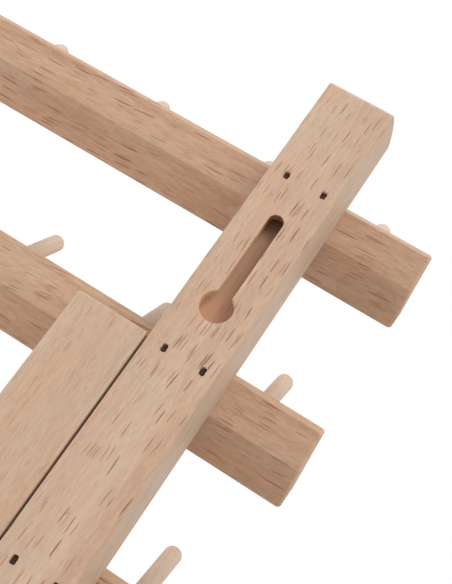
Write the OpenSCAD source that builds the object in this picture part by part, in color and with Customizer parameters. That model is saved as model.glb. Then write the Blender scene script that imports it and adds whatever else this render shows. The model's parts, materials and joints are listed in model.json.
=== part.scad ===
// Wooden thread rack: sloping rails with slanted spool pegs, nailed to two stiles.
// Each stile has a keyhole for hanging and a folding leg that lies beside it.
// The pegs point to -Y, the wall side is +Y, and the stiles stand on Z = 0.

/* [Stiles] */
// Width of a stile, seen from behind
stile_width = 19; // [18:0.5:24]
// Depth of a stile, from its back to the rails
stile_depth = 21.5; // [20.5:0.5:24]
// How far the stiles run past the bottom rail
stile_tail = 26.5; // [20:0.5:40]
// How far the stiles run past the top rail
stile_head = 35; // [26:0.5:44]
// Radius of a stile's crowned top end, seen from the side
stile_crown = 56; // [45:1:90]

/* [Rails] */
// Number of rails
rail_count = 6; // [3:1:7]
// Distance between the flats of neighbouring rails
rail_pitch = 56.5; // [54:0.5:60]
// Thickness of the rail stock
rail_thick = 11; // [11:0.5:13]
// Width of the rail stock
rail_width = 20; // [19:0.5:24]
// Height of the flat that is planed on a rail where it meets the stiles
rail_flat = 11; // [9:0.5:12]
// How far a rail runs past the outer side of a stile
rail_overhang = 26; // [25:0.5:30]
// How far a rail runs past the centre of its last peg
rail_end = 18; // [16:0.5:22]

/* [Pegs] */
// Number of pegs on a rail
peg_count = 10; // [6:2:12]
// Distance between pegs along a rail
peg_pitch = 40; // [39:0.5:44]
// Diameter of a peg
peg_diameter = 5; // [4:0.1:6]
// Length of peg that stands out of the rail
peg_reach = 31; // [20:0.5:45]
// Length of peg that is glued into the rail
peg_socket = 8; // [5:0.5:8]
// Width of the shoulder where the peg meets the rail's face
peg_shoulder = 0.3; // [0.2:0.1:0.5]

/* [Keyholes] */
// Diameter of the entry hole for a screw head
key_entry = 8.4; // [7:0.1:9]
// Width of the slot for a screw shank
key_slot = 4; // [3:0.1:5]
// Distance that the rack drops on the screw
key_drop = 26.5; // [15:0.5:26.5]
// Height of the entry hole above the flat of the second rail
key_rise = 18; // [17:0.5:20]
// Depth of the pocket
key_depth = 6; // [5:0.5:8]
// Thickness of the lips that hold the screw head
key_lip = 2.6; // [2:0.1:3]

/* [Legs] */
// Width of a leg, seen from behind
leg_width = 19.5; // [16:0.5:24]
// Thickness of a leg
leg_thick = 11; // [9:0.5:11]
// How far the square top end of a leg overlaps the flat of the second rail
leg_overlap = 4.1; // [4.1:0.1:6]
// Distance from the top end of a leg down to its pivot
leg_pivot_drop = 31; // [25:0.5:31]
// Gap between a folded leg and its stile
leg_gap = 0.6; // [0.5:0.1:1]
// Height of the foot of a folded leg above the foot of the stile
leg_lift = 1; // [0.5:0.5:10]

/* [Hidden] */
$fn = 48;
hair = 0.02;            // clearance around each glued or driven piece
cut = 1;                // how far a cutting tool runs past a face

root2 = sqrt(2);
rail_length = (peg_count - 1) * peg_pitch + 2 * rail_end;
stile_height = stile_tail + (rail_count - 1) * rail_pitch + stile_head;
stile_outer = rail_length / 2 - rail_overhang;
stile_inner = stile_outer - stile_width;
stile_middle = stile_outer - stile_width / 2;

// Rail section: stock turned 45 degrees, its rear corner planed to a flat.
low_leg = (rail_width - rail_flat / root2) / root2;
top_leg = (rail_thick - rail_flat / root2) / root2;
nose_depth = low_leg + rail_thick / root2;
nose_height = rail_thick / root2 - low_leg;
face_depth = (nose_depth + top_leg) / 2;
face_height = (nose_height + rail_flat + top_leg) / 2;

peg_radius = peg_diameter / 2;
tenon_radius = peg_radius - peg_shoulder;
peg_front = face_depth + (peg_reach - peg_radius) / root2 + peg_radius;
rack_depth = stile_depth + peg_front;
back_y = rack_depth / 2;
rail_y = back_y - stile_depth;

// Brad: flat nail with a small head, sunk below the back of the stile.
brad_length = 30;
brad_wide = 1.25;
brad_thin = 1;
brad_head = 2;
brad_head_thick = 0.6;
brad_sink = 1;
brad_in = 4.6;          // from the stile's middle towards the other stile
brad_out = 6;           // from the stile's middle towards the rail's end
brad_rise = 2.9;        // above the lower edge of the rail's flat
brad_rise_top = 0.7;    // the same on the top rail, which is nailed low

leg_top = rail_z(2) + leg_overlap;
pivot_z = leg_top - leg_pivot_drop;
pivot_y = back_y - leg_thick / 2;
leg_outer = stile_inner - leg_gap;
leg_inner = leg_outer - leg_width;

screw_radius = 2;
screw_grip = 14;        // length of screw in the stile
screw_tip = 3;
screw_head_radius = 3.9;
screw_head_height = 2.2;
screw_turn = 0.05;      // running clearance of the leg on the screw
washer_radius = 3.5;
washer_hole = 2.15;
cross_width = 1;
cross_span = 4.2;
cross_depth = 1.6;

// Height of the lower edge of a rail's flat; rail 1 is at the top.
function rail_z(i) = stile_tail + (rail_count - i) * rail_pitch;

// Place of peg n along a rail.
function peg_x(n) = (n - (peg_count + 1) / 2) * peg_pitch;

// Height of the brads in rail i.
function brad_z(i) = rail_z(i) + (i == 1 ? brad_rise_top : brad_rise);

// Puts a piece made for the right side (+X) on the side asked for.
module on_side(side) {
  if (side == "right") children();
  else mirror([1, 0, 0]) children();
}

// Lays a profile drawn as [y, z] along X, centred.
module along_x(length) {
  rotate([90, 0, 90])
    linear_extrude(height = length, center = true)
      children();
}

// A shaft along X from x0 to x1 at the legs' pivot.
module pivot_shaft(x0, x1, radius) {
  translate([x0, pivot_y, pivot_z])
    rotate([0, 90, 0])
      cylinder(h = x1 - x0, r = radius);
}

// Frame of a peg: +Z leaves the rail's sloping face at its middle.
module at_peg(i, n) {
  translate([peg_x(n), rail_y - face_depth, rail_z(i) + face_height])
    rotate([45, 0, 0])
      children();
}

// Both brads of rail i on the right stile, or their holes when grown.
module brad_pair(i, grow) {
  for (x = [stile_middle - brad_in, stile_middle + brad_out]) {
    translate([x, back_y - brad_sink, brad_z(i)]) brad(grow);
  }
}

// One brad, driven towards -Y; grown, it is its own hole, open to the back.
module brad(grow) {
  open = grow > 0 ? brad_sink + cut : 0;
  shank_wide = brad_wide + 2 * grow;
  shank_thin = brad_thin + 2 * grow;
  head_tall = brad_head + 2 * grow;
  translate([-shank_wide / 2, -brad_length - grow, -shank_thin / 2])
    cube([shank_wide, brad_length + grow, shank_thin]);
  translate([-shank_wide / 2, -brad_head_thick - grow, -head_tall / 2])
    cube([shank_wide, brad_head_thick + grow + open, head_tall]);
}

// A hole or slot sunk from the back of the right stile, between two depths.
module sunk(radius, rise, from, to) {
  translate([stile_middle, back_y - from, rail_z(2) + key_rise + rise])
    rotate([90, 0, 0])
      cylinder(h = to - from, r = radius);
}

// The straight part of a keyhole slot, between two depths.
module sunk_run(width, from, to) {
  translate([stile_middle - width / 2, back_y - to, rail_z(2) + key_rise])
    cube([width, to - from, key_drop]);
}

// Keyhole pocket: entry hole, slot between the lips, and undercut behind them.
module keyhole() {
  sunk(key_entry / 2, 0, -cut, key_depth);
  sunk_run(key_slot, -cut, key_depth);
  sunk(key_slot / 2, key_drop, -cut, key_depth);
  sunk_run(key_entry, key_lip, key_depth);
  sunk(key_entry / 2, key_drop, key_lip, key_depth);
}

// A stile before its holes: square at the foot, crowned at the top, where the
// end falls away from the rails' side to the back.
module stile_blank() {
  springing = stile_height - stile_crown;
  translate([stile_inner, rail_y, 0]) cube([stile_width, stile_depth, springing]);
  intersection() {
    translate([stile_inner, rail_y, springing - cut])
      cube([stile_width, stile_depth, stile_crown + cut]);
    translate([stile_inner - cut, rail_y, springing])
      rotate([0, 90, 0])
        cylinder(h = stile_width + 2 * cut, r = stile_crown, $fn = 192);
  }
}

module stile(side) {
  color("tan")
    on_side(side)
      difference() {
        stile_blank();
        keyhole();
        pivot_shaft(stile_inner - cut, stile_inner + screw_grip + hair, screw_radius + hair);
        for (i = [1 : rail_count]) brad_pair(i, hair);
      }
}

// Outline of a rail, as [y, z] from the lower edge of its flat.
module rail_profile() {
  polygon([
    [0, 0],
    [-low_leg, -low_leg],
    [-nose_depth, nose_height],
    [-top_leg, rail_flat + top_leg],
    [0, rail_flat]
  ]);
}

module rail(i) {
  color("burlywood")
    difference() {
      translate([0, rail_y, rail_z(i)]) along_x(rail_length) rail_profile();
      for (n = [1 : peg_count]) {
        at_peg(i, n)
          translate([0, 0, -peg_socket - hair])
            cylinder(h = peg_socket + cut, r = tenon_radius + hair);
      }
      for (side = ["left", "right"]) on_side(side) brad_pair(i, hair);
    }
}

// Half outline of a peg: a tenon below the face, a shaft and a round tip above it.
module peg_outline() {
  translate([0, -peg_socket]) square([tenon_radius, peg_socket]);
  square([peg_radius, peg_reach - peg_radius]);
  intersection() {
    translate([0, peg_reach - peg_radius]) square(peg_radius);
    translate([0, peg_reach - peg_radius]) circle(peg_radius);
  }
}

module peg_row(i) {
  color("wheat")
    for (n = [1 : peg_count]) {
      at_peg(i, n) rotate_extrude() peg_outline();
    }
}

module brads(side) {
  color("slategray")
    on_side(side)
      for (i = [1 : rail_count]) brad_pair(i, 0);
}

module leg(side) {
  color("navajowhite")
    on_side(side)
      difference() {
        translate([leg_inner, back_y - leg_thick, leg_lift])
          cube([leg_width, leg_thick, leg_top - leg_lift]);
        pivot_shaft(leg_inner - cut, leg_outer + cut, screw_radius + screw_turn);
        countersink(screw_turn);
      }
}

// The cone under the screw's head, flush with the leg's inner side; grown, it is
// the recess in the leg, open to that side.
module countersink(grow) {
  open = grow > 0 ? cut : 0;
  translate([leg_inner, pivot_y, pivot_z])
    rotate([0, 90, 0]) {
      cylinder(
        h = screw_head_height + grow,
        r1 = screw_head_radius + grow,
        r2 = screw_radius + grow
      );
      if (open > 0)
        translate([0, 0, -open]) cylinder(h = open, r = screw_head_radius + grow);
    }
}

// Countersunk screw: it goes through the leg and grips in the stile.
module pivot_screw(side) {
  shank_end = stile_inner + screw_grip - screw_tip;
  color("silver")
    on_side(side)
      difference() {
        union() {
          pivot_shaft(leg_inner + screw_head_height, shank_end, screw_radius);
          translate([shank_end, pivot_y, pivot_z])
            rotate([0, 90, 0])
              cylinder(h = screw_tip, r1 = screw_radius, r2 = screw_radius / 4);
          countersink(0);
        }
        cross_recess();
      }
}

// The cross in the screw's head.
module cross_recess() {
  for (turn = [0, 90]) {
    translate([leg_inner, pivot_y, pivot_z])
      rotate([turn, 0, 0])
        translate([-cut, -cross_span / 2, -cross_width / 2])
          cube([cut + cross_depth, cross_span, cross_width]);
  }
}

// The flat washer between a leg and its stile.
module spacer_washer(side) {
  color("darkgray")
    on_side(side)
      difference() {
        pivot_shaft(leg_outer, leg_outer + leg_gap, washer_radius);
        pivot_shaft(leg_outer - cut, leg_outer + leg_gap + cut, washer_hole);
      }
}

for (i = [1 : rail_count]) {
  rail(i);
  peg_row(i);
}
for (side = ["left", "right"]) {
  stile(side);
  brads(side);
  leg(side);
  pivot_screw(side);
  spacer_washer(side);
}
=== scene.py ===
import json
import math
import random

import bmesh
import bpy
import numpy as np
from bpy.props import FloatProperty, FloatVectorProperty, IntProperty, PointerProperty
from bpy.types import Operator, Panel, PropertyGroup
from mathutils import Matrix, Vector


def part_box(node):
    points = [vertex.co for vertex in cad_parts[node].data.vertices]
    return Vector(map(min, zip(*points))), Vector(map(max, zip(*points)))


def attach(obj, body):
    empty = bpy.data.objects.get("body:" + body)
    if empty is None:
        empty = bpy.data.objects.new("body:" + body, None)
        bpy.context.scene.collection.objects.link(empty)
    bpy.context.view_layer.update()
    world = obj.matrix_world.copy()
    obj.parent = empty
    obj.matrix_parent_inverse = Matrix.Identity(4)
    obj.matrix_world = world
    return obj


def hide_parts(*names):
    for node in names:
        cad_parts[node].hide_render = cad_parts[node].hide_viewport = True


bl_info = {
    "name": "Beech Thread Rack",
    "version": (1, 0, 0),
    "blender": (4, 5, 0),
    "location": "3D View > Sidebar > Thread Rack",
    "description": "Makes a beech thread rack: keyhole stiles, slanted rails, spool pegs and folding legs",
    "category": "Object",
}

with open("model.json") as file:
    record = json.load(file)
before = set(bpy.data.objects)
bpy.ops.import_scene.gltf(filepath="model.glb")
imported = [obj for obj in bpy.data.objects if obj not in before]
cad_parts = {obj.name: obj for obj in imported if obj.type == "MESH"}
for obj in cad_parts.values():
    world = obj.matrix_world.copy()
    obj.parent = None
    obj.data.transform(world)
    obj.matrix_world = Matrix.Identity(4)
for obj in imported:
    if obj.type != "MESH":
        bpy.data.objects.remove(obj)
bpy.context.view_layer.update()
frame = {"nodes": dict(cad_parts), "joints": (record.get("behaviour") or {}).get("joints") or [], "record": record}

MM = 0.001
SIDES = ("left", "right")
RAILS = [n for n in sorted(frame["nodes"]) if n.startswith("rail_")]
MOUNTS = {m["name"]: m for m in frame["record"]["mounts"]}
JOINTS = {j["name"]: j for j in frame["joints"]}
BACK_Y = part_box("left_stile")[1].y


# ---------------------------------------------------------------- settings

class RackShape(PropertyGroup):
    """Sizes of the small workmanship details."""

    arris: FloatProperty(
        name="Arris", description="Radius that sanding leaves on the long edges of stiles and legs",
        default=0.5 * MM, min=0.1 * MM, max=1.5 * MM, unit="LENGTH", subtype="DISTANCE")
    rail_arris: FloatProperty(
        name="Rail arris", description="Radius on the long edges of the rails",
        default=0.5 * MM, min=0.1 * MM, max=1.5 * MM, unit="LENGTH", subtype="DISTANCE")
    end_round: FloatProperty(
        name="End rounding", description="Radius on the edges of a sawn and sanded end",
        default=0.9 * MM, min=0.1 * MM, max=1.5 * MM, unit="LENGTH", subtype="DISTANCE")
    crown: FloatProperty(
        name="Crown", description="Radius of a stile's crowned top end, seen from the side",
        default=56.0 * MM, min=45.0 * MM, max=90.0 * MM, unit="LENGTH", subtype="DISTANCE")
    mouth: FloatProperty(
        name="Keyhole mouth", description="Width of the worn edge round a keyhole",
        default=0.16 * MM, min=0.02 * MM, max=0.5 * MM, unit="LENGTH", subtype="DISTANCE")
    pocket_depth: FloatProperty(
        name="Pocket depth", description="Depth of a keyhole pocket",
        default=6.0 * MM, min=4.0 * MM, max=8.0 * MM, unit="LENGTH", subtype="DISTANCE")
    lip: FloatProperty(
        name="Lip", description="Thickness of the lips along a keyhole slot",
        default=2.6 * MM, min=1.5 * MM, max=4.0 * MM, unit="LENGTH", subtype="DISTANCE")
    slot_width: FloatProperty(
        name="Slot width", description="Width of a keyhole slot",
        default=4.0 * MM, min=3.0 * MM, max=5.0 * MM, unit="LENGTH", subtype="DISTANCE")
    slot_run: FloatProperty(
        name="Slot run", description="Distance from the entry hole's centre to the centre of the slot's end",
        default=26.5 * MM, min=10.0 * MM, max=27.0 * MM, unit="LENGTH", subtype="DISTANCE")
    screw_radius: FloatProperty(
        name="Screw radius", description="Radius of a pivot screw's shank",
        default=2.0 * MM, min=1.5 * MM, max=2.5 * MM, unit="LENGTH", subtype="DISTANCE")
    head_radius: FloatProperty(
        name="Screw head radius", description="Radius of a pivot screw's countersunk head",
        default=3.9 * MM, min=3.0 * MM, max=4.5 * MM, unit="LENGTH", subtype="DISTANCE")
    head_height: FloatProperty(
        name="Screw head height", description="Height of the cone under a pivot screw's head",
        default=2.2 * MM, min=1.5 * MM, max=3.0 * MM, unit="LENGTH", subtype="DISTANCE")
    nail_hole_slack: FloatProperty(
        name="Nail hole slack", description="How much wider than a brad's head its hole is torn",
        default=0.12 * MM, min=0.0, max=0.4 * MM, unit="LENGTH", subtype="DISTANCE")
    peg_round: FloatProperty(
        name="Peg rounding", description="Radius round the tip of a peg",
        default=2.05 * MM, min=0.5 * MM, max=2.4 * MM, unit="LENGTH", subtype="DISTANCE")
    peg_sides: IntProperty(
        name="Peg sides", description="Number of faces round a peg", default=40, min=16, max=96)


class RackFinish(PropertyGroup):
    """Colours of bare beech and of the steel fittings."""

    stile_pale: FloatVectorProperty(
        name="Stile, pale", description="Early wood of the stiles", subtype="COLOR", size=3,
        default=(0.640, 0.465, 0.340), min=0.0, max=1.0)
    stile_deep: FloatVectorProperty(
        name="Stile, deep", description="Late wood of the stiles", subtype="COLOR", size=3,
        default=(0.520, 0.350, 0.245), min=0.0, max=1.0)
    rail_pale: FloatVectorProperty(
        name="Rail, pale", description="Early wood of the rails", subtype="COLOR", size=3,
        default=(0.595, 0.400, 0.275), min=0.0, max=1.0)
    rail_deep: FloatVectorProperty(
        name="Rail, deep", description="Late wood of the rails", subtype="COLOR", size=3,
        default=(0.450, 0.270, 0.172), min=0.0, max=1.0)
    leg_pale: FloatVectorProperty(
        name="Leg, pale", description="Early wood of the legs", subtype="COLOR", size=3,
        default=(0.620, 0.450, 0.328), min=0.0, max=1.0)
    leg_deep: FloatVectorProperty(
        name="Leg, deep", description="Late wood of the legs", subtype="COLOR", size=3,
        default=(0.500, 0.338, 0.232), min=0.0, max=1.0)
    peg_pale: FloatVectorProperty(
        name="Peg, pale", description="Early wood of the pegs", subtype="COLOR", size=3,
        default=(0.650, 0.510, 0.405), min=0.0, max=1.0)
    peg_deep: FloatVectorProperty(
        name="Peg, deep", description="Late wood of the pegs", subtype="COLOR", size=3,
        default=(0.555, 0.410, 0.310), min=0.0, max=1.0)
    ray: FloatVectorProperty(
        name="Ray fleck", description="Short dark flecks of the wood's rays", subtype="COLOR", size=3,
        default=(0.270, 0.095, 0.045), min=0.0, max=1.0)
    cut: FloatVectorProperty(
        name="Fresh cut", description="Wood that a bit has laid bare", subtype="COLOR", size=3,
        default=(0.770, 0.470, 0.295), min=0.0, max=1.0)
    # The brads' dark brown is the coated steel's colour together with painted shade for the holes that they sit
    # sunk in.
    brad: FloatVectorProperty(
        name="Brad", description="Coated steel of the brads", subtype="COLOR", size=3,
        default=(0.090, 0.052, 0.034), min=0.0, max=1.0)
    zinc: FloatVectorProperty(
        name="Zinc", description="Plated steel of screws and washers", subtype="COLOR", size=3,
        default=(0.700, 0.700, 0.715), min=0.0, max=1.0)
    floor: FloatVectorProperty(
        name="Floor", description="Plain pale floor", subtype="COLOR", size=3,
        default=(0.610, 0.600, 0.590), min=0.0, max=1.0)


# ---------------------------------------------------------------- materials

class Recipe:
    """One material, with short ways to add and join its nodes."""

    def __init__(self, name):
        self.material = bpy.data.materials.new(name)
        self.material.use_nodes = True
        self.nodes = self.material.node_tree.nodes
        self.links = self.material.node_tree.links
        self.shader = self.nodes["Principled BSDF"]

    def feed(self, socket, value):
        if isinstance(value, bpy.types.NodeSocket):
            self.links.new(value, socket)
        else:
            socket.default_value = value

    def add(self, kind, inputs=None, **settings):
        node = self.nodes.new(kind)
        for name, value in settings.items():
            setattr(node, name, value)
        for key, value in (inputs or {}).items():
            self.feed(node.inputs[key], value)
        return node

    def maths(self, operation, a, b=0.0, clamp=False):
        return self.add("ShaderNodeMath", {0: a, 1: b}, operation=operation, use_clamp=clamp).outputs[0]

    def sum(self, *terms):
        total = terms[0]
        for term in terms[1:]:
            total = self.maths("ADD", total, term)
        return total

    def around_zero(self, value, amount):
        """Takes a value of about 0.5 to one of that amount each side of zero."""
        return self.maths("MULTIPLY", self.maths("SUBTRACT", value, 0.5), 2 * amount)

    def ramp(self, value, low, high):
        """0 below low, 1 above high, and smooth between them."""
        node = self.add("ShaderNodeMapRange", {"Value": value, "From Min": low, "From Max": high},
                        interpolation_type="SMOOTHSTEP", clamp=True)
        return node.outputs["Result"]

    def mix(self, share, a, b, blend="MIX"):
        node = self.add("ShaderNodeMix", data_type="RGBA", blend_type=blend, clamp_factor=True)
        for socket, value in ((node.inputs["Factor"], share), (node.inputs[6], a), (node.inputs[7], b)):
            self.feed(socket, value)
        return node.outputs[2]

    def place(self, x, y, z):
        return self.add("ShaderNodeCombineXYZ", {"X": x, "Y": y, "Z": z}).outputs[0]

    def noise(self, vector, scale, detail=2.0, roughness=0.5):
        node = self.add("ShaderNodeTexNoise",
                        {"Vector": vector, "Scale": scale, "Detail": detail, "Roughness": roughness})
        return node.outputs["Fac"]

    def attribute(self, name):
        return self.add("ShaderNodeAttribute", attribute_type="GEOMETRY", attribute_name=name)


def rgba(colour, factor=1.0):
    """That colour, made lighter or darker, with full alpha."""
    return tuple(min(1.0, c * factor) for c in colour) + (1.0,)


def beech(name, pale, deep, ray, cut, fleck_share, fleck_long, fleck_wide, ring_gap, fleck_depth):
    """Bare beech. The mesh carries where each point lay in the tree, in millimetres: along the grain,
    from the pith outwards, and across; and the directions of the grain and of the bark."""
    r = Recipe(name)
    axes = r.add("ShaderNodeSeparateXYZ", {0: r.attribute("grain").outputs["Vector"]}).outputs
    along, out, across = axes["X"], axes["Y"], axes["Z"]
    tone = r.attribute("tone").outputs["Fac"]
    normal = r.add("ShaderNodeTexCoord").outputs["Normal"]

    def facing(direction):
        dot = r.add("ShaderNodeVectorMath", {0: normal, 1: r.attribute(direction).outputs["Vector"]},
                    operation="DOT_PRODUCT").outputs["Value"]
        return r.maths("ABSOLUTE", dot)

    end_grain = r.ramp(facing("run"), 0.55, 0.85)
    flat_sawn = r.ramp(facing("bark"), 0.25, 0.75)

    # The grain wanders slowly, and each fleck leans a little its own way.
    stretch = r.place(r.maths("MULTIPLY", along, 0.016), r.maths("MULTIPLY", out, 0.06),
                      r.maths("MULTIPLY", across, 0.06))
    wander = r.around_zero(r.noise(stretch, 1.0, 1.0), 2.6)
    lean = r.around_zero(r.noise(r.place(r.maths("MULTIPLY", along, 0.11), r.maths("MULTIPLY", out, 0.3),
                                         r.maths("MULTIPLY", across, 0.3)), 1.0, 1.0), 0.28)
    across_now = r.sum(across, wander, lean)
    out_now = r.sum(out, wander)

    # Growth rings: pale early wood that deepens to a thin late line.
    curve = r.maths("MULTIPLY", r.maths("MULTIPLY", across, across), 0.006)
    year = r.maths("DIVIDE", r.sum(out_now, curve), ring_gap)
    uneven = r.around_zero(r.noise(r.place(r.maths("MULTIPLY", along, 0.01), year, 0.0), 0.7, 1.0), 0.5)
    late = r.maths("POWER", r.maths("FRACT", r.sum(year, uneven)), 3.0)

    figure = r.noise(r.place(r.maths("MULTIPLY", along, 0.02), r.maths("MULTIPLY", out_now, 0.22),
                             r.maths("MULTIPLY", across_now, 0.22)), 1.0, 2.0)
    blush = r.noise(r.place(r.maths("MULTIPLY", along, 0.035), r.maths("MULTIPLY", out, 0.11),
                            r.maths("MULTIPLY", across, 0.11)), 1.0, 1.0)
    fibre = r.noise(r.place(r.maths("MULTIPLY", along, 0.20), r.maths("MULTIPLY", out_now, 1.5),
                            r.maths("MULTIPLY", across_now, 1.5)), 1.0, 4.0, 0.7)
    pores = r.noise(r.place(r.maths("MULTIPLY", along, 0.8), r.maths("MULTIPLY", out_now, 4.0),
                            r.maths("MULTIPLY", across_now, 4.0)), 1.0, 2.0, 0.6)

    # Rays: thin sheets that show as short dark dashes on a flat-sawn face.
    def rays(long, wide, deep_reach, share, soft):
        cell = r.add("ShaderNodeTexVoronoi", {
            "Vector": r.place(r.maths("DIVIDE", along, long), r.maths("DIVIDE", out_now, deep_reach),
                              r.maths("DIVIDE", across_now, wide)),
            "Scale": 1.0, "Randomness": 1.0}, voronoi_dimensions="3D", feature="F1")
        chance = r.add("ShaderNodeSeparateColor", {0: cell.outputs["Color"]}).outputs
        size = r.sum(0.20, r.maths("MULTIPLY", chance["Green"], 0.28))
        inside = r.ramp(r.maths("SUBTRACT", size, cell.outputs["Distance"]), 0.0, soft)
        present = r.maths("LESS_THAN", chance["Red"], share)
        strength = r.sum(0.45, r.maths("MULTIPLY", chance["Blue"], 0.55))
        return r.maths("MULTIPLY", r.maths("MULTIPLY", inside, present), strength)

    fleck = r.maths("MAXIMUM", rays(fleck_long, fleck_wide, 9.0, fleck_share, 0.08),
                    r.maths("MULTIPLY", rays(fleck_long * 0.4, fleck_wide * 0.5, 5.0, 0.22, 0.10), 0.35))
    fleck = r.maths("MULTIPLY", fleck, r.sum(0.30, r.maths("MULTIPLY", flat_sawn, 0.70)))

    depth = r.sum(0.42, tone, r.maths("MULTIPLY", late, 0.30), r.around_zero(figure, 0.55),
                  r.around_zero(fibre, 1.05), r.around_zero(pores, 0.45))
    depth = r.maths("ADD", depth, 0.0, clamp=True)
    wood = r.mix(depth, rgba(pale), rgba(deep))
    wood = r.mix(r.ramp(blush, 0.35, 0.75), wood, rgba((1.0, 0.935, 0.895)), "MULTIPLY")
    wood = r.mix(r.maths("MULTIPLY", fleck, fleck_depth), wood, rgba(ray))

    # Quarter-sawn sides are greyer.
    wood = r.mix(r.maths("SUBTRACT", 1.0, flat_sawn, clamp=True), wood, rgba((0.965, 1.0, 1.0)), "MULTIPLY")

    # Sawn ends drink in light between their open pores.
    open_pores = r.ramp(r.noise(r.place(r.maths("MULTIPLY", along, 2.0), r.maths("MULTIPLY", out, 6.0),
                                        r.maths("MULTIPLY", across, 6.0)), 1.0, 3.0, 0.7), 0.42, 0.7)
    end_wood = r.mix(r.sum(r.maths("MULTIPLY", open_pores, 0.35), r.maths("MULTIPLY", late, 0.4)),
                     rgba(pale, 1.08), rgba(deep, 0.92))
    wood = r.mix(end_grain, wood, end_wood)

    # Cut walls are fresher, and painted shade darkens the far end of the keyhole slot and, a little less, the holes
    # beyond.
    burn = r.attribute("burn").outputs["Fac"]
    fresh = r.maths("MULTIPLY", r.maths("MINIMUM", burn, 1.0), 0.6)
    wood = r.mix(fresh, wood, rgba(cut))
    # painted shade: darker brown towards the slot's far end and in the holes
    wood = r.mix(r.ramp(burn, 1.78, 2.0), wood, rgba((0.42, 0.30, 0.25)), "MULTIPLY")

    r.feed(r.shader.inputs["Base Color"], wood)
    gloss = r.sum(0.56, r.around_zero(fibre, 0.10), r.maths("MULTIPLY", fleck, -0.10),
                  r.maths("MULTIPLY", end_grain, 0.14))
    r.feed(r.shader.inputs["Roughness"], gloss)
    r.shader.inputs["Specular IOR Level"].default_value = 0.32
    height = r.sum(r.maths("MULTIPLY", fibre, 0.55), r.maths("MULTIPLY", pores, 0.45),
                   r.maths("MULTIPLY", fleck, -0.6),
                   r.maths("MULTIPLY", r.maths("MULTIPLY", open_pores, end_grain), -0.8))
    bump = r.add("ShaderNodeBump", {"Strength": 0.35, "Distance": 0.08 * MM, "Height": height})
    r.feed(r.shader.inputs["Normal"], bump.outputs[0])
    return r.material


def plated_steel(name, colour, roughness, grime, metal=1.0):
    """Plated steel with fine handling scratches and a duller bloom in patches."""
    r = Recipe(name)
    spot = r.add("ShaderNodeTexCoord").outputs["Object"]
    bloom = r.noise(spot, 900.0, 4.0, 0.6)
    scratch = r.noise(r.add("ShaderNodeVectorMath", {0: spot, 1: (9000.0, 1200.0, 9000.0)},
                            operation="MULTIPLY").outputs[0], 1.0, 3.0, 0.7)
    shade = r.mix(r.ramp(bloom, 0.35, 0.7), rgba(colour), rgba(colour, grime))
    r.feed(r.shader.inputs["Base Color"], shade)
    r.shader.inputs["Metallic"].default_value = metal
    r.feed(r.shader.inputs["Roughness"],
           r.sum(roughness, r.around_zero(bloom, 0.10), r.around_zero(scratch, 0.08)))
    bump = r.add("ShaderNodeBump", {"Strength": 0.25, "Distance": 0.02 * MM,
                                    "Height": r.sum(scratch, r.maths("MULTIPLY", bloom, 0.5))})
    r.feed(r.shader.inputs["Normal"], bump.outputs[0])
    return r.material


def floor_paint(name, colour):
    """Matt seamless floor, with a faint mottle that keeps it from looking printed."""
    r = Recipe(name)
    spot = r.add("ShaderNodeTexCoord").outputs["Object"]
    mottle = r.noise(spot, 6.0, 4.0, 0.55)
    r.feed(r.shader.inputs["Base Color"], r.mix(r.ramp(mottle, 0.3, 0.7), rgba(colour), rgba(colour, 0.975)))
    r.shader.inputs["Roughness"].default_value = 0.85
    r.shader.inputs["Specular IOR Level"].default_value = 0.15
    grit = r.noise(spot, 700.0, 2.0)
    bump = r.add("ShaderNodeBump", {"Strength": 0.08, "Distance": 0.2 * MM, "Height": grit})
    r.feed(r.shader.inputs["Normal"], bump.outputs[0])
    return r.material


def finish(slot):
    """The material for that slot, made the first time it is asked for."""
    name = f"{slot}_bare" if "beech" in slot else f"{slot}_worked"
    if name in bpy.data.materials:
        return bpy.data.materials[name]
    f = bpy.context.scene.rack_finish

    def sawn(part, **figure):
        pale, deep = getattr(f, f"{part}_pale"), getattr(f, f"{part}_deep")
        return beech(name, pale, deep, f.ray, f.cut, **figure)

    makers = {
        "stile_beech": lambda: sawn("stile", fleck_share=0.36, fleck_long=7.6, fleck_wide=0.46,
                                    ring_gap=3.4, fleck_depth=0.86),
        "rail_beech": lambda: sawn("rail", fleck_share=0.34, fleck_long=8.2, fleck_wide=0.50,
                                   ring_gap=3.0, fleck_depth=0.86),
        "leg_beech": lambda: sawn("leg", fleck_share=0.24, fleck_long=5.2, fleck_wide=0.34,
                                  ring_gap=2.6, fleck_depth=0.36),
        "peg_beech": lambda: sawn("peg", fleck_share=0.20, fleck_long=2.6, fleck_wide=0.30,
                                  ring_gap=2.2, fleck_depth=0.25),
        # brads: their dark colour is also painted shade in the nail holes
        "brad_steel": lambda: plated_steel(name, f.brad, roughness=0.55, grime=0.40, metal=0.30),
        "screw_steel": lambda: plated_steel(name, f.zinc, roughness=0.30, grime=0.82),
        "floor_paint": lambda: floor_paint(name, f.floor),
    }
    return makers[slot]()


# ---------------------------------------------------------------- mesh work

def cad_mesh(node):
    """A CAD node's mesh with its seams joined."""
    bm = bmesh.new()
    bm.from_mesh(frame["nodes"][node].data)
    bmesh.ops.remove_doubles(bm, verts=bm.verts, dist=0.001 * MM)
    return bm


def solids(node):
    """Lowest and highest corner of each separate solid of a CAD node."""
    bm = cad_mesh(node)
    left, boxes = set(bm.verts), []
    while left:
        edge_of = [left.pop()]
        corners = list(edge_of)
        while edge_of:
            for edge in edge_of.pop().link_edges:
                for v in edge.verts:
                    if v in left:
                        left.discard(v)
                        edge_of.append(v)
                        corners.append(v)
        spots = np.array([v.co for v in corners])
        boxes.append((Vector(spots.min(0)), Vector(spots.max(0))))
    bm.free()
    return boxes


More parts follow.
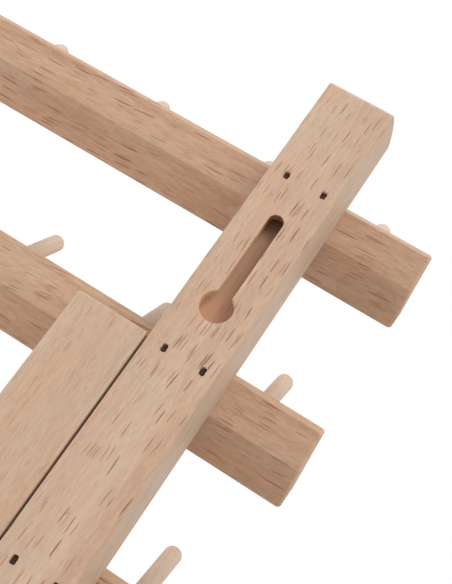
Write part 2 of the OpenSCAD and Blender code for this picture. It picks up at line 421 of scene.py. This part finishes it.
def rail_section(node):
    """The corners of a rail's section as (y, z), in order round it."""
    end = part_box(node)[1].x
    bm = cad_mesh(node)
    found = {(round(v.co.y, 6), round(v.co.z, 6)) for v in bm.verts if abs(v.co.x - end) < 0.01 * MM}
    bm.free()
    middle = Vector((sum(p[0] for p in found) / len(found), sum(p[1] for p in found) / len(found)))
    return sorted(found, key=lambda p: math.atan2(p[1] - middle.y, p[0] - middle.x))


def eased(corners, radii, steps=5):
    """A convex outline with each corner rounded by its own radius, as (point, outward direction) pairs.
    The corners run anticlockwise; a radius of 0 leaves a corner as it is."""
    outline = []
    count = len(corners)
    for i, corner in enumerate(corners):
        p = Vector(corner)
        radius = radii[i] if hasattr(radii, "__len__") else radii
        before = (Vector(corners[i - 1]) - p).normalized()
        after = (Vector(corners[(i + 1) % count]) - p).normalized()
        inward = (before + after).normalized()
        if not radius:
            outline.append((p, -inward))
            continue
        half = before.angle(after) / 2
        centre = p + inward * (radius / math.sin(half))
        first, last = Vector((before.y, -before.x)), Vector((-after.y, after.x))
        first = first if first.dot(inward) < 0 else -first
        last = last if last.dot(inward) < 0 else -last
        start = math.atan2(first.y, first.x)
        turn = (math.atan2(last.y, last.x) - start + math.pi) % (2 * math.pi) - math.pi
        for k in range(steps + 1):
            a = start + turn * k / steps
            way = Vector((math.cos(a), math.sin(a)))
            outline.append((centre + way * radius, way))
    return outline


def bar(outline, low, high, end_round, place):
    """A bar of that outline from low to high, its end edges rounded; place turns (u, v, w) to a point."""
    bm = bmesh.new()
    turns = [math.pi / 2 * k / 5 for k in range(6)]
    stations = [(low + end_round * (1 - math.cos(a)), end_round * (1 - math.sin(a))) for a in turns]
    stations += [(high + low - w, inset) for w, inset in reversed(stations)]
    rings = []
    for w, inset in stations:
        rings.append([bm.verts.new(place(*(p - way * inset), w)) for p, way in outline])
    join_rings(bm, rings)
    bm.faces.new(list(reversed(rings[0])))
    bm.faces.new(rings[-1])
    bmesh.ops.recalc_face_normals(bm, faces=bm.faces)
    return bm


def join_rings(bm, rings):
    """Skins one ring of points to the next."""
    for a, b in zip(rings, rings[1:]):
        for i in range(len(a)):
            j = (i + 1) % len(a)
            bm.faces.new((a[i], a[j], b[j], b[i]))


def turned(profile, sides, matrix, bm=None):
    """A turned solid: profile is (radius, height) from one end to the other, about matrix's Z axis."""
    bm = bm or bmesh.new()
    rings = []
    made = []
    for radius, height in profile:
        if radius < 1e-7:
            ring = [bm.verts.new(matrix @ Vector((0, 0, height)))]
        else:
            ring = [bm.verts.new(matrix @ Vector((radius * math.cos(2 * math.pi * k / sides),
                                                  radius * math.sin(2 * math.pi * k / sides), height)))
                    for k in range(sides)]
        rings.append(ring)
    for a, b in zip(rings, rings[1:]):
        for k in range(sides):
            j = (k + 1) % sides
            corners = [a[k % len(a)], a[j % len(a)], b[j % len(b)], b[k % len(b)]]
            made.append(bm.faces.new(list(dict.fromkeys(corners))))
    if len(rings[0]) > 1:
        made.append(bm.faces.new(list(reversed(rings[0]))))
    if len(rings[-1]) > 1:
        made.append(bm.faces.new(rings[-1]))
    bmesh.ops.recalc_face_normals(bm, faces=made)
    return bm


def piece(name, bm):
    """A new object from that mesh work."""
    mesh = bpy.data.meshes.new(name)
    bm.to_mesh(mesh)
    bm.free()
    obj = bpy.data.objects.new(name, mesh)
    bpy.context.scene.collection.objects.link(obj)
    return obj


def cut_away(obj, bm, crossing=False):
    """Takes the shape in bm out of obj for good; crossing tells that its own parts pass through each other."""
    cutter = piece("cutter", bm)
    boolean = obj.modifiers.new("cut", "BOOLEAN")
    boolean.operation = "DIFFERENCE"
    boolean.solver = "EXACT"
    boolean.object = cutter
    boolean.use_self = crossing
    settle(obj)
    bpy.data.objects.remove(cutter)


def settle(obj):
    """Applies obj's modifiers."""
    ready = obj.evaluated_get(bpy.context.evaluated_depsgraph_get())
    mesh = bpy.data.meshes.new_from_object(ready)
    obj.modifiers.clear()
    spent, obj.data = obj.data, mesh
    mesh.name = obj.name
    bpy.data.meshes.remove(spent)


def smooth(obj, crease=34.0):
    """Smooth shading that leaves broad faces flat and real corners sharp."""
    obj.data.shade_smooth()
    obj.data.set_sharp_from_angle(angle=math.radians(crease))
    weight = obj.modifiers.new("flat faces", "WEIGHTED_NORMAL")
    weight.keep_sharp = True
    weight.weight = 80
    settle(obj)


def carry(obj, name, values, kind):
    """Stores values on obj's points under that name."""
    size = {"FLOAT": "value", "FLOAT_VECTOR": "vector"}[kind]
    layer = obj.data.attributes.new(name, kind, "POINT")
    layer.data.foreach_set(size, np.asarray(values, np.float32).ravel())


def lay_grain(obj, frames, tone, owner=None):
    """Records where each point lay in the tree. frames are (start, grain direction, bark direction, shift)
    with the shift in millimetres, and owner gives the frame of each point."""
    count = len(obj.data.vertices)
    spots = np.zeros(count * 3)
    obj.data.vertices.foreach_get("co", spots)
    spots = spots.reshape(-1, 3)
    owner = np.zeros(count, int) if owner is None else np.asarray(owner)
    grain, run, bark = np.zeros((count, 3)), np.zeros((count, 3)), np.zeros((count, 3))
    for i, (start, along, outward, shift) in enumerate(frames):
        along = Vector(along).normalized()
        outward = (Vector(outward) - along * Vector(outward).dot(along)).normalized()
        across = along.cross(outward)
        axes = np.array([along, outward, across])
        mine = owner == i
        grain[mine] = (spots[mine] - np.array(start)) @ axes.T / MM + np.array(shift)
        run[mine], bark[mine] = axes[0], axes[1]
    carry(obj, "grain", grain, "FLOAT_VECTOR")
    carry(obj, "run", run, "FLOAT_VECTOR")
    carry(obj, "bark", bark, "FLOAT_VECTOR")
    carry(obj, "tone", np.full(count, tone), "FLOAT")
    # fresh-cut walls and painted shade, marked later on the stiles
    carry(obj, "burn", np.zeros(count), "FLOAT")


def mark_cuts_and_shade(obj, middle, half_width, low, high):
    """Marks what is cut into obj from its back, the only thing within half_width of its middle: 1 in a freshly cut
    wall, rising to 2 between two heights towards the slot's far end, and a little less than 2 in the holes beyond.
    Above about 1.8 the wood material paints shade in."""
    burn, edge, hole_shade = [], 0.15 * MM, 0.88
    for v in obj.data.vertices:
        depth = min(1.0, (BACK_Y - v.co.y) / edge) if abs(v.co.x - middle) < half_width else 0.0
        rise = (v.co.z - low) / (high - low)
        # up to 2 at the slot's far end and 1.88 in the holes, where the wood material paints shade
        burn.append(depth * (1 + (min(1.0, max(0.0, rise)) if -0.25 < rise < 1.25 else hole_shade)))
    obj.data.attributes["burn"].data.foreach_set("value", burn)


def fit(obj, body, slot, *nodes):
    """Gives a finished piece its material and its body, and hides the CAD nodes that it stands for."""
    obj.data.materials.clear()
    obj.data.materials.append(finish(slot))
    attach(obj, body)
    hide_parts(*nodes)
    return obj


def tilted(direction, sideways, degrees):
    """A grain direction that runs out of true by some degrees."""
    return Vector(direction) + Vector(sideways) * math.tan(math.radians(degrees))


# ---------------------------------------------------------------- stiles

def keyhole_outline(entry, half_slot, run, ragged, rng):
    """The keyhole as (x, z) from the entry hole's centre; the slot's far end is a little torn."""
    points = []
    gate = math.asin(half_slot / entry)
    turns = 44
    for k in range(turns + 1):
        a = math.pi / 2 + gate + (2 * math.pi - 2 * gate) * k / turns
        points.append((entry * math.cos(a), entry * math.sin(a)))
    for k in range(17):
        a = math.pi * k / 16
        torn = half_slot + ragged * rng.uniform(-1, 1) * math.sin(a)
        points.append((torn * math.cos(a), run + torn * math.sin(a)))
    return points


def sunk_shape(outlines, centre):
    """A cutter sunk from the back: outlines are (depth, [(x, z)...]) with equal counts."""
    bm = bmesh.new()
    rings = [[bm.verts.new((centre.x + x, BACK_Y - depth, centre.z + z)) for x, z in points]
             for depth, points in outlines]
    join_rings(bm, rings)
    bm.faces.new(list(reversed(rings[0])))
    bm.faces.new(rings[-1])
    bmesh.ops.triangulate(bm, faces=[f for f in bm.faces if len(f.verts) > 4])
    bmesh.ops.recalc_face_normals(bm, faces=bm.faces)
    return bm


def keyhole_cutters(side):
    """What is cut out of a stile for its keyhole: the mouth through the lips, then the wider trough below them."""
    shape = bpy.context.scene.rack_shape
    mount = MOUNTS[f"{side}_hang_hole"]
    centre = Vector(mount["pos_m"])
    entry, half = mount["dims"]["r_mm"] * MM, shape.slot_width / 2
    undercut = 0.1 * MM
    widest = entry + undercut

    def ring(grow, ragged=0.05 * MM):
        return keyhole_outline(entry + grow, half + grow, shape.slot_run, ragged, random.Random(11))

    mouth = sunk_shape([(-1 * MM, ring(shape.mouth)), (0.0, ring(shape.mouth)),
                        (shape.mouth * 0.35, ring(shape.mouth * 0.35)), (shape.mouth, ring(0.0)),
                        (shape.lip + 0.5 * MM, ring(0.0, 0.0))], centre)

    def trough(radius):
        points = [(radius * math.cos(a), radius * math.sin(a))
                  for a in (math.pi + math.pi * k / 24 for k in range(25))]
        points += [(radius * math.cos(a), shape.slot_run + radius * math.sin(a))
                   for a in (math.pi * k / 24 for k in range(25))]
        return points

    floor = shape.pocket_depth
    fillet = 0.35 * MM
    steps = [(floor - fillet + fillet * math.sin(a), trough(widest - fillet * (1 - math.cos(a))))
             for a in (math.pi / 2 * k / 4 for k in range(5))]
    below = sunk_shape([(shape.lip, trough(widest))] + steps, centre)
    return [mouth, below]


def nail_hole_cutter(side):
    """The torn mouths of the brad holes, down to the underside of the sunk heads."""
    slack = bpy.context.scene.rack_shape.nail_hole_slack
    bm = bmesh.new()
    for low, high in solids(f"{side}_brads"):
        rng = random.Random(round(low.z / MM) * 7 + round(low.x / MM))
        centre = Vector(((low.x + high.x) / 2, 0, (low.z + high.z) / 2))
        half = Vector(((high.x - low.x) / 2 + slack * 0.6, 0, (high.z - low.z) / 2 + slack * 0.4))
        outline = []
        for k in range(20):
            a = 2 * math.pi * k / 20 + 0.1
            c, s = math.cos(a), math.sin(a)
            # between a rectangle and an ellipse
            bulge = (abs(c) ** 4 + abs(s) ** 4) ** -0.25
            tear = rng.uniform(-0.35, 1.0) * slack
            outline.append((c * (half.x * bulge + tear), s * (half.z * bulge + tear)))
        depths = ((-1 * MM, 1.10), (0.0, 1.10), (0.18 * MM, 1.0), (BACK_Y - high.y + 0.62 * MM, 0.94))
        rings = [[bm.verts.new((centre.x + x * grow, BACK_Y - depth, centre.z + z * grow)) for x, z in outline]
                 for depth, grow in depths]
        join_rings(bm, rings)
        bm.faces.new(list(reversed(rings[0])))
        bm.faces.new(rings[-1])
    bmesh.ops.recalc_face_normals(bm, faces=bm.faces)
    return bm


def pivot_line(side, x):
    """The matrix at that distance from the rack's middle on a leg's pivot, +Z pointing away from the middle."""
    sign = -1 if side == "left" else 1
    spot = Vector(JOINTS[f"{side}_leg_fold"]["pos_m"])
    return Matrix.Translation((sign * x, spot.y, spot.z)) @ Matrix.Rotation(sign * math.pi / 2, 4, "Y")


def reach(node):
    """How far a CAD node's nearer and farther side lie from the rack's middle."""
    low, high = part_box(node)
    return sorted((abs(low.x), abs(high.x)))


def stile_profile(low, high):
    """A stile seen from the side, as (y, z): square at the foot, its top end crowned."""
    shape = bpy.context.scene.rack_shape
    crown = [(low.y + shape.crown * math.sin(a), high.z - shape.crown * (1 - math.cos(a)))
             for a in (math.asin((high.y - low.y) / shape.crown) * k / 14 for k in range(15))]
    corners = [(low.y, low.z), (high.y, low.z)] + list(reversed(crown))
    radii = [shape.end_round, shape.end_round, shape.end_round * 1.6] + [0.0] * 13 + [shape.end_round * 1.2]
    return eased(corners, radii)


class RACK_OT_stiles(Operator):
    """Make both stiles with their keyholes and nail holes"""
    bl_idname = "rack.stiles"
    bl_label = "Stiles"

    def execute(self, context):
        shape = context.scene.rack_shape
        for side in SIDES:
            low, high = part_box(f"{side}_stile")
            sign = -1 if side == "left" else 1
            stile = piece(f"{side}_stile_wood", bar(
                stile_profile(low, high), low.x, high.x, shape.arris, lambda u, v, w: (w, u, v)))
            for cutter in keyhole_cutters(side):
                cut_away(stile, cutter)
            cut_away(stile, nail_hole_cutter(side))
            near, _ = reach(f"{side}_stile")
            bore, bore_depth = shape.screw_radius + 0.02 * MM, 14 * MM
            cut_away(stile, turned([(bore, -MM), (bore, bore_depth)], 48, pivot_line(side, near)))
            smooth(stile)
            start = Vector(((low.x + high.x) / 2, high.y, 0))
            lay_grain(stile, [(start, tilted((0, 0, 1), (sign, 0, 0), 1.2), (0.22 * sign, 1, 0),
                               (40 if sign < 0 else 770, 96, 31 * sign))], 0.0)
            entry = MOUNTS[f"{side}_hang_hole"]["pos_m"][2]
            # fresh-cut walls, and painted shade at the slot's far end and in the holes
            mark_cuts_and_shade(stile, start.x, 8 * MM, entry, entry + shape.slot_run)
            fit(stile, "frame", "stile_beech", f"{side}_stile")
        return {"FINISHED"}


# ---------------------------------------------------------------- rails and pegs

def peg_places(rail):
    """Where each peg leaves the rail's face: (point on the face, axis, radius, free length)."""
    number = rail.split("_")[1]
    places = []
    for name in sorted((n for n in MOUNTS if n.startswith(f"peg_{number}_")), key=lambda n: int(n.split("_")[2])):
        mount = MOUNTS[name]
        axis = Vector(mount["axis"]).normalized()
        length = mount["dims"]["length_mm"] * MM
        places.append((Vector(mount["pos_m"]) - axis * length / 2, axis, mount["dims"]["r_mm"] * MM, length))
    return places


def standing(foot, axis, spin=0.0):
    """The matrix that stands a turned piece at foot, along axis."""
    lean = axis.to_track_quat("Z", "Y").to_matrix().to_4x4()
    return Matrix.Translation(foot) @ lean @ Matrix.Rotation(spin, 4, "Z")


class RACK_OT_rails(Operator):
    """Make the sloping rails with their peg holes"""
    bl_idname = "rack.rails"
    bl_label = "Rails"

    def execute(self, context):
        shape = context.scene.rack_shape
        for number, node in enumerate(RAILS, 1):
            rng = random.Random(300 + number)
            low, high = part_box(node)
            rail = piece(f"{node}_wood", bar(
                eased(rail_section(node), shape.rail_arris), low.x, high.x, shape.end_round,
                lambda u, v, w: (w, u, v)))
            holes = bmesh.new()
            for foot, axis, radius, _ in peg_places(node):
                lip = 0.12 * MM
                turned([(radius * 0.9, -8.0 * MM), (radius * 0.9, -0.4 * MM), (radius + 0.02 * MM, -0.4 * MM),
                        (radius + 0.02 * MM, -lip), (radius + lip, 0.0), (radius + lip, MM)],
                       shape.peg_sides, standing(foot, axis), holes)
            cut_away(rail, holes)
            smooth(rail)
            start = Vector((0, high.y, low.z))
            bark = (0, 0.93, -0.36 + rng.uniform(-0.12, 0.12))
            lay_grain(rail, [(start, tilted((1, 0, 0), (0, 0, 1), rng.uniform(-2.4, -1.0)), bark,
                              (rng.uniform(-900, 900), rng.uniform(80, 130), rng.uniform(-60, 60)))],
                      rng.uniform(-0.06, 0.08))
            fit(rail, "frame", "rail_beech", node)
        return {"FINISHED"}


class RACK_OT_pegs(Operator):
    """Make the round-tipped spool pegs"""
    bl_idname = "rack.pegs"
    bl_label = "Pegs"

    def execute(self, context):
        shape = context.scene.rack_shape
        for number, node in enumerate(RAILS, 1):
            rng = random.Random(700 + number)
            bm = bmesh.new()
            frames, owner = [], []
            for foot, axis, radius, length in peg_places(node):
                tip = length + radius - 0.42 * MM - rng.uniform(0, 0.15) * MM
                ease = shape.peg_round
                profile = [(0.0, -7.9 * MM), (radius * 0.84, -7.9 * MM), (radius * 0.88, -7.5 * MM),
                           (radius * 0.88, -0.35 * MM), (radius, -0.3 * MM), (radius, 0.0)]
                profile += [(radius, length * k / 6) for k in range(1, 6)]
                profile += [(radius - ease * (1 - math.cos(a)), tip - ease * (1 - math.sin(a)))
                            for a in (math.pi / 2 * k / 8 for k in range(9))]
                profile.append((0.0, tip))
                before = len(bm.verts)
                turned(profile, shape.peg_sides, standing(foot, axis, rng.uniform(0, 6.28)), bm)
                owner += [len(frames)] * (len(bm.verts) - before)
                frames.append((foot, axis, (math.cos(rng.uniform(0, 6.28)), 0.4, 0.3),
                               (rng.uniform(-500, 500), rng.uniform(60, 120), rng.uniform(-60, 60))))
            pegs = piece(f"{node.replace('rail', 'pegs')}_wood", bm)
            pegs.data.shade_smooth()
            pegs.data.set_sharp_from_angle(angle=math.radians(40))
            lay_grain(pegs, frames, rng.uniform(-0.05, 0.05), owner)
            fit(pegs, "frame", "peg_beech", node.replace("rail", "pegs"))
        return {"FINISHED"}


# ---------------------------------------------------------------- brads, legs and pivots

class RACK_OT_brads(Operator):
    """Make the sunk brads"""
    bl_idname = "rack.brads"
    bl_label = "Brads"

    def execute(self, context):
        for side in SIDES:
            bm = bmesh.new()
            for low, high in solids(f"{side}_brads"):
                x, z = (low.x + high.x) / 2, (low.z + high.z) / 2
                head, shank = 0.6 * MM, 0.5 * MM
                wide, tall = (high.x - low.x) / 2, (high.z - low.z) / 2
                top = high.y
                # from the driven point up to the set head, each ring as (y, half width, half height)
                rings = [(low.y, wide * 0.2, shank * 0.2), (low.y + 2 * MM, wide, shank),
                         (top - head - 0.1 * MM, wide, shank), (top - head, wide, tall * 0.94),
                         (top - head * 0.75, wide, tall), (top - head * 0.2, wide, tall),
                         (top - 0.03 * MM, wide * 0.9, tall * 0.94), (top, wide * 0.7, tall * 0.8),
                         (top - 0.04 * MM, wide * 0.45, tall * 0.55)]
                made = []
                for y, half_x, half_z in rings:
                    outline = []
                    for k in range(16):
                        a = 2 * math.pi * (k + 0.5) / 16
                        c, s = math.cos(a), math.sin(a)
                        bulge = (abs(c) ** 8 + abs(s) ** 8) ** -0.125
                        outline.append(bm.verts.new((x + c * bulge * half_x, y, z + s * bulge * half_z)))
                    made.append(outline)
                join_rings(bm, made)
                bm.faces.new(list(reversed(made[0])))
                bm.faces.new(made[-1])
            bmesh.ops.recalc_face_normals(bm, faces=bm.faces)
            brads = piece(f"{side}_brads_steel", bm)
            smooth(brads)
            fit(brads, "frame", "brad_steel", f"{side}_brads")
        return {"FINISHED"}


class RACK_OT_legs(Operator):
    """Make the folding legs"""
    bl_idname = "rack.legs"
    bl_label = "Legs"

    def execute(self, context):
        shape = context.scene.rack_shape
        for side in SIDES:
            low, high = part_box(f"{side}_leg")
            sign = -1 if side == "left" else 1
            corners = [(low.x, low.y), (high.x, low.y), (high.x, high.y), (low.x, high.y)]
            leg = piece(f"{side}_leg_wood", bar(
                eased(corners, shape.arris * 0.6), low.z, high.z, shape.end_round * 0.6, lambda u, v, w: (u, v, w)))
            near, far = reach(f"{side}_leg")
            slack, ease = 0.05 * MM, 0.15 * MM
            shank, rim, sink = shape.screw_radius + slack, shape.head_radius + slack, shape.head_height + slack
            cut_away(leg, turned([(rim + ease, -MM), (rim + ease, 0.0), (rim, ease), (shank, sink),
                                  (shank, far - near + MM)], 64, pivot_line(side, near)))
            smooth(leg)
            start = Vector(((low.x + high.x) / 2, high.y, 0))
            lay_grain(leg, [(start, tilted((0, 0, 1), (sign, 0, 0), -1.5), (0.35 * sign, 1, 0),
                             (1500 if sign < 0 else 2400, 70, 18 * sign))], -0.02)
            fit(leg, f"{side}_leg", "leg_beech", f"{side}_leg")
        return {"FINISHED"}


def cross_recess(depth, span, width):
    """A tapered cross that is driven into a screw's head; +Z leaves the head."""
    bm = bmesh.new()
    for turn in (0.0, math.pi / 2):
        spin = Matrix.Rotation(turn, 3, "Z")
        rings = []
        for height, share, thick in ((-depth, 0.45, 0.6), (0.0, 1.0, 1.0), (MM, 1.0, 1.0)):
            half, slim = span / 2 * share, width / 2 * thick
            outline = [(-half, -slim), (half, -slim), (half, slim), (-half, slim)]
            rings.append([bm.verts.new(spin @ Vector((x, y, height))) for x, y in outline])
        join_rings(bm, rings)
        bm.faces.new(list(reversed(rings[0])))
        bm.faces.new(rings[-1])
    bmesh.ops.recalc_face_normals(bm, faces=bm.faces)
    return bm


class RACK_OT_pivots(Operator):
    """Make the pivot screws and their washers"""
    bl_idname = "rack.pivots"
    bl_label = "Pivots"

    def execute(self, context):
        shape = context.scene.rack_shape
        for side in SIDES:
            near, far = reach(f"{side}_pivot_screw")
            shank, rim, ease = shape.screw_radius, shape.head_radius, 0.12 * MM
            length = far - near
            # from the head, which is flush with the leg, to the point
            profile = [(0.0, 0.0), (rim - ease * 1.4, 0.0), (rim - ease * 0.5, ease * 0.12),
                       (rim - ease * 0.2, ease * 0.6), (shank + ease * 0.3, shape.head_height - ease * 0.2),
                       (shank, shape.head_height + ease)]
            turn_at, pitch, last_turn, taper = 22 * MM, 0.8 * MM, length - 3.6 * MM, 3.0 * MM
            while turn_at < last_turn:
                profile += [(shank * 0.86, turn_at), (shank, turn_at + pitch * 0.4), (shank, turn_at + pitch * 0.5)]
                turn_at += pitch
            profile += [(shank * 0.9, length - taper), (shank * 0.25, length - 0.1 * MM), (0.0, length)]
            lay = pivot_line(side, near)
            screw = piece(f"{side}_pivot_screw_steel", turned(profile, 64, lay))
            recess = cross_recess(depth=1.6 * MM, span=4.2 * MM, width=1.0 * MM)
            driven = Matrix.Rotation(0.35, 4, "Z")
            recess.transform(lay @ Matrix.Rotation(math.pi, 4, "X") @ driven)
            cut_away(screw, recess, crossing=True)
            smooth(screw, 38)
            fit(screw, "frame", "screw_steel", f"{side}_pivot_screw")

            low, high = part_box(f"{side}_spacer_washer")
            outer, thick = (high.z - low.z) / 2, high.x - low.x
            hole, ease = 2.15 * MM, thick / 4
            loop = [(hole, ease), (hole + ease, 0.0), (outer - ease, 0.0), (outer - ease * 0.3, ease * 0.3),
                    (outer, ease), (outer, thick - ease), (outer - ease * 0.3, thick - ease * 0.3),
                    (outer - ease, thick), (hole + ease, thick), (hole, thick - ease)]
            washer = piece(f"{side}_spacer_washer_steel",
                           ring_of(loop, 64, pivot_line(side, reach(f"{side}_spacer_washer")[0])))
            smooth(washer, 38)
            fit(washer, "frame", "screw_steel", f"{side}_spacer_washer")
        return {"FINISHED"}


def ring_of(loop, sides, matrix):
    """A turned ring from a closed loop of (radius, height)."""
    bm = bmesh.new()
    rings = [[bm.verts.new(matrix @ Vector((radius * math.cos(2 * math.pi * k / sides),
                                            radius * math.sin(2 * math.pi * k / sides), height)))
              for k in range(sides)] for radius, height in loop]
    join_rings(bm, rings + [rings[0]])
    bmesh.ops.recalc_face_normals(bm, faces=bm.faces)
    return bm


# ---------------------------------------------------------------- stage

class RACK_OT_stage(Operator):
    """Make the floor, the lights and the camera"""
    bl_idname = "rack.stage"
    bl_label = "Stage"

    def execute(self, context):
        scene = context.scene
        bm = bmesh.new()
        bmesh.ops.create_grid(bm, x_segments=24, y_segments=24, size=6.0)
        floor = piece("floor", bm)
        floor.data.materials.append(finish("floor_paint"))

        world = bpy.data.worlds.new("white_studio")
        scene.world = world
        world.use_nodes = True
        sky = world.node_tree
        background = sky.nodes["Background"]
        # white towards -Y, beyond the rack's front, falling to under half towards +Y, behind its back
        way = sky.nodes.new("ShaderNodeSeparateXYZ")
        sky.links.new(sky.nodes.new("ShaderNodeTexCoord").outputs["Generated"], way.inputs[0])
        shade = sky.nodes.new("ShaderNodeMapRange")
        shade.interpolation_type = "SMOOTHSTEP"
        for name, value in (("From Min", -0.25), ("From Max", 0.55), ("To Min", 1.0), ("To Max", 0.45)):
            shade.inputs[name].default_value = value
        sky.links.new(way.outputs["Y"], shade.inputs["Value"])
        sky.links.new(shade.outputs["Result"], background.inputs["Strength"])
        background.inputs["Color"].default_value = (1.0, 1.0, 1.0, 1.0)

        target = Vector((-0.16, BACK_Y, 0.26))
        for name, spot, size, power, colour in (
                ("soft_key", (-0.75, 1.15, 1.05), 0.7, 8.4, (1.0, 0.985, 0.970)),
                ("overhead", (-0.30, 0.14, 1.30), 0.5, 4.2, (1.0, 1.0, 1.0)),
                ("low_fill", (0.60, 0.42, 0.13), 0.20, 2.4, (0.93, 0.98, 1.0))):
            light = bpy.data.lights.new(name, "AREA")
            light.shape = "SQUARE"
            light.size = size
            light.energy = power
            light.color = colour
            lamp = bpy.data.objects.new(name, light)
            lamp.location = spot
            lamp.rotation_euler = (target - Vector(spot)).to_track_quat("-Z", "Y").to_euler()
            lamp.visible_camera = False
            scene.collection.objects.link(lamp)

        lens = bpy.data.cameras.new("camera")
        lens.lens = 59.76
        lens.sensor_width = 36.0
        lens.clip_start = 0.01
        camera = bpy.data.objects.new("camera", lens)
        camera.location = (-0.20845, 0.23766, 0.19879)
        camera.rotation_euler = [math.radians(a) for a in (113.264, -32.747, 179.246)]
        scene.collection.objects.link(camera)
        scene.camera = camera
        scene.view_settings.view_transform = "Standard"
        return {"FINISHED"}


# ---------------------------------------------------------------- panel

MAKERS = (RACK_OT_stiles, RACK_OT_rails, RACK_OT_pegs, RACK_OT_brads, RACK_OT_legs, RACK_OT_pivots, RACK_OT_stage)


class RACK_PT_panel(Panel):
    """Makes the rack piece by piece"""
    bl_label = "Thread Rack"
    bl_idname = "RACK_PT_panel"
    bl_space_type = "VIEW_3D"
    bl_region_type = "UI"
    bl_category = "Thread Rack"

    def draw(self, context):
        for maker in MAKERS:
            self.layout.operator(maker.bl_idname)
        for group in (context.scene.rack_shape, context.scene.rack_finish):
            column = self.layout.column()
            for name in type(group).__annotations__:
                column.prop(group, name)


CLASSES = (RackShape, RackFinish) + MAKERS + (RACK_PT_panel,)


def register():
    for cls in CLASSES:
        bpy.utils.register_class(cls)
    bpy.types.Scene.rack_shape = PointerProperty(type=RackShape)
    bpy.types.Scene.rack_finish = PointerProperty(type=RackFinish)


def unregister():
    del bpy.types.Scene.rack_finish
    del bpy.types.Scene.rack_shape
    for cls in reversed(CLASSES):
        bpy.utils.unregister_class(cls)


def main():
    register()
    for make in (bpy.ops.rack.stage, bpy.ops.rack.stiles, bpy.ops.rack.rails, bpy.ops.rack.pegs,
                 bpy.ops.rack.brads, bpy.ops.rack.legs, bpy.ops.rack.pivots):
        make()


if __name__ == "__main__":
    main()
